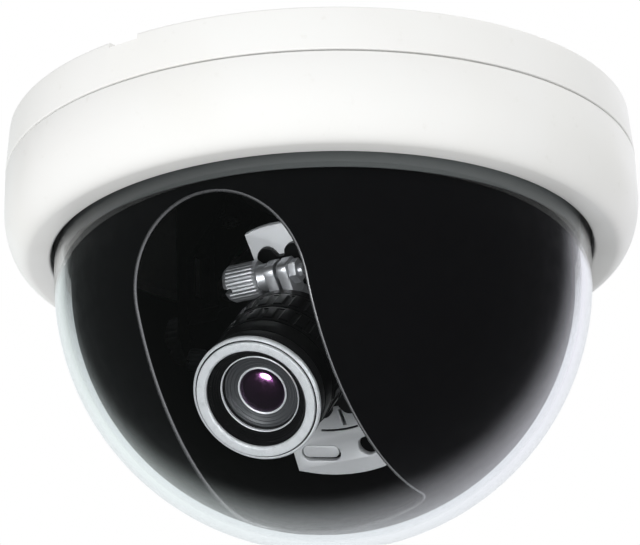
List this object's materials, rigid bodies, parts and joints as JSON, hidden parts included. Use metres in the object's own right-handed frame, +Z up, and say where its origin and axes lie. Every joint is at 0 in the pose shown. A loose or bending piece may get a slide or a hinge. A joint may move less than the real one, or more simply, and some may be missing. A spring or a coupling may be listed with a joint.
{
  "type": "dome security camera",
  "caption": "Indoor ceiling dome camera: round white base and cover, clear bubble, black slotted liner and a varifocal lens on a pan, tilt and roll gimbal.",
  "frame": {"origin": "centre of the ceiling face, midway between the two fixing slots", "axes": "+Z up into the ceiling, the dome hangs towards -Z; -Y is the front and +X the right side seen from the front"},
  "size_m": [0.1228, 0.1228, 0.0848],
  "materials": {
    "white_shell": "smooth white moulded plastic with a soft sheen",
    "clear_dome": "clear polished acrylic",
    "black_liner": "satin black thermoformed plastic",
    "black_plastic": "fine-textured black moulding",
    "bracket_grey": "light grey satin paint on pressed steel",
    "clamp_metal": "nickel-plated, finely turned",
    "screw_steel": "zinc-plated fasteners",
    "dark_screws": "black oxide",
    "lens_black": "satin black anodised",
    "lens_silver": "satin silver anodised, fine lathe lines",
    "lens_cell": "dark grey anodised",
    "lens_glass": "coated optical glass",
    "gasket_rubber": "soft black rubber",
    "board_green": "solder mask over glass-fibre board",
    "terminal_green": "moulded nylon",
    "socket_ivory": "ivory nylon",
    "capacitor_sleeve": "dark shrink sleeve",
    "sensor_ceramic": "dark ceramic package under a window",
    "spacer_brass": "turned brass"
  },
  "bodies": {
    "base": {"mounting_base": "white_shell", "cover_clips": "screw_steel", "power_board": "board_green", "board_screws": "screw_steel", "terminal_block": "terminal_green", "terminal_screws": "screw_steel", "harness_socket": "socket_ivory", "filter_capacitors": "capacitor_sleeve", "pan_retaining_plate": "clamp_metal", "retaining_screws": "screw_steel"},
    "pan_stage": {"pan_turntable": "black_plastic", "yoke_arm_left": "black_plastic", "yoke_arm_right": "black_plastic", "yoke_screws": "screw_steel"},
    "pan_lock": {"pan_lock_screw": "clamp_metal"},
    "tilt_stage": {"tilt_cradle": "black_plastic", "tilt_washers": "clamp_metal", "cradle_bracket": "bracket_grey", "flange_ring": "black_plastic", "flange_screws": "dark_screws", "roll_clamp": "clamp_metal", "clamp_nut": "clamp_metal"},
    "tilt_knob_left": {"tilt_screw_left": "clamp_metal"},
    "tilt_knob_right": {"tilt_screw_right": "clamp_metal"},
    "roll_knob": {"roll_screw": "clamp_metal"},
    "camera_module": {"sensor_housing": "black_plastic", "rear_cap": "black_plastic", "rear_cap_screws": "screw_steel", "processor_board": "board_green", "module_socket": "socket_ivory", "board_spacers": "spacer_brass", "sensor_board": "board_green", "sensor_board_screws": "screw_steel", "image_sensor": "sensor_ceramic", "optical_filter": "lens_glass", "lens_tube": "lens_black", "rear_lens": "lens_glass", "lens_head": "lens_black", "front_cell": "lens_cell", "lens_retainer": "lens_silver", "front_glass": "lens_glass", "front_ring": "lens_silver"},
    "zoom_stage": {"zoom_ring": "lens_black"},
    "zoom_knob": {"zoom_lock_screw": "dark_screws"},
    "focus_stage": {"focus_ring": "lens_black"},
    "focus_knob": {"focus_lock_screw": "dark_screws"},
    "cover": {"cover_shell": "white_shell", "dome_gasket": "gasket_rubber", "dome_bubble": "clear_dome", "dome_clamp_ring": "white_shell", "dome_clamp_screws": "screw_steel"},
    "liner": {"inner_liner": "black_liner"}
  },
  "joints": [
    {"name": "cover_lift", "type": "slide", "parent": "base", "child": "cover", "axis": [0, 0, -1], "range_m": [0, 0.075]},
    {"name": "pan", "type": "hinge", "parent": "base", "child": "pan_stage", "pos_m": [0, 0, -0.0108], "axis": [0, 0, 1], "range_deg": [-177, 177]},
    {"name": "liner_turn", "type": "hinge", "parent": "cover", "child": "liner", "pos_m": [0, 0, -0.0213], "axis": [0, 0, 1], "range_deg": [-177, 177]},
    {"name": "pan_lock_turn", "type": "hinge", "parent": "pan_stage", "child": "pan_lock", "pos_m": [0.00999, 0.0196, -0.0131], "axis": [0, 0, -1], "range_deg": [0, 180]},
    {"name": "tilt", "type": "hinge", "parent": "pan_stage", "child": "tilt_stage", "pos_m": [0, 0, -0.0384], "axis": [0.891, -0.454, 0], "range_deg": [-38, 34]},
    {"name": "tilt_knob_left_turn", "type": "hinge", "parent": "tilt_stage", "child": "tilt_knob_left", "pos_m": [-0.02762, 0.01407, -0.0384], "axis": [-0.891, 0.454, 0], "range_deg": [0, 180]},
    {"name": "tilt_knob_right_turn", "type": "hinge", "parent": "tilt_stage", "child": "tilt_knob_right", "pos_m": [0.02762, -0.01407, -0.0384], "axis": [0.891, -0.454, 0], "range_deg": [0, 180]},
    {"name": "roll", "type": "hinge", "parent": "tilt_stage", "child": "camera_module", "pos_m": [-0.00395, -0.00776, -0.04666], "axis": [-0.3293, -0.6463, -0.6884], "range_deg": [-170, 170]},
    {"name": "roll_knob_turn", "type": "hinge", "parent": "tilt_stage", "child": "roll_knob", "pos_m": [-0.01239, -0.0155, -0.03768], "axis": [-0.891, 0.454, 0], "range_deg": [0, 180]},
    {"name": "zoom", "type": "hinge", "parent": "camera_module", "child": "zoom_stage", "pos_m": [-0.00728, -0.01428, -0.05361], "axis": [-0.3293, -0.6463, -0.6884], "range_deg": [-45, 60]},
    {"name": "zoom_knob_turn", "type": "hinge", "parent": "zoom_stage", "child": "zoom_knob", "pos_m": [-0.00728, -0.01428, -0.05361], "axis": [-0.6755, 0.6707, -0.3066], "range_deg": [0, 180]},
    {"name": "focus", "type": "hinge", "parent": "camera_module", "child": "focus_stage", "pos_m": [-0.00929, -0.01823, -0.05781], "axis": [-0.3293, -0.6463, -0.6884], "range_deg": [-60, 45]},
    {"name": "focus_knob_turn", "type": "hinge", "parent": "focus_stage", "child": "focus_knob", "pos_m": [-0.00929, -0.01823, -0.05781], "axis": [-0.9442, 0.2168, 0.2481], "range_deg": [0, 180]}
  ],
  "couplings": [
    {"joint": "liner_turn", "follows": "pan", "ratio": 1}
  ]
}
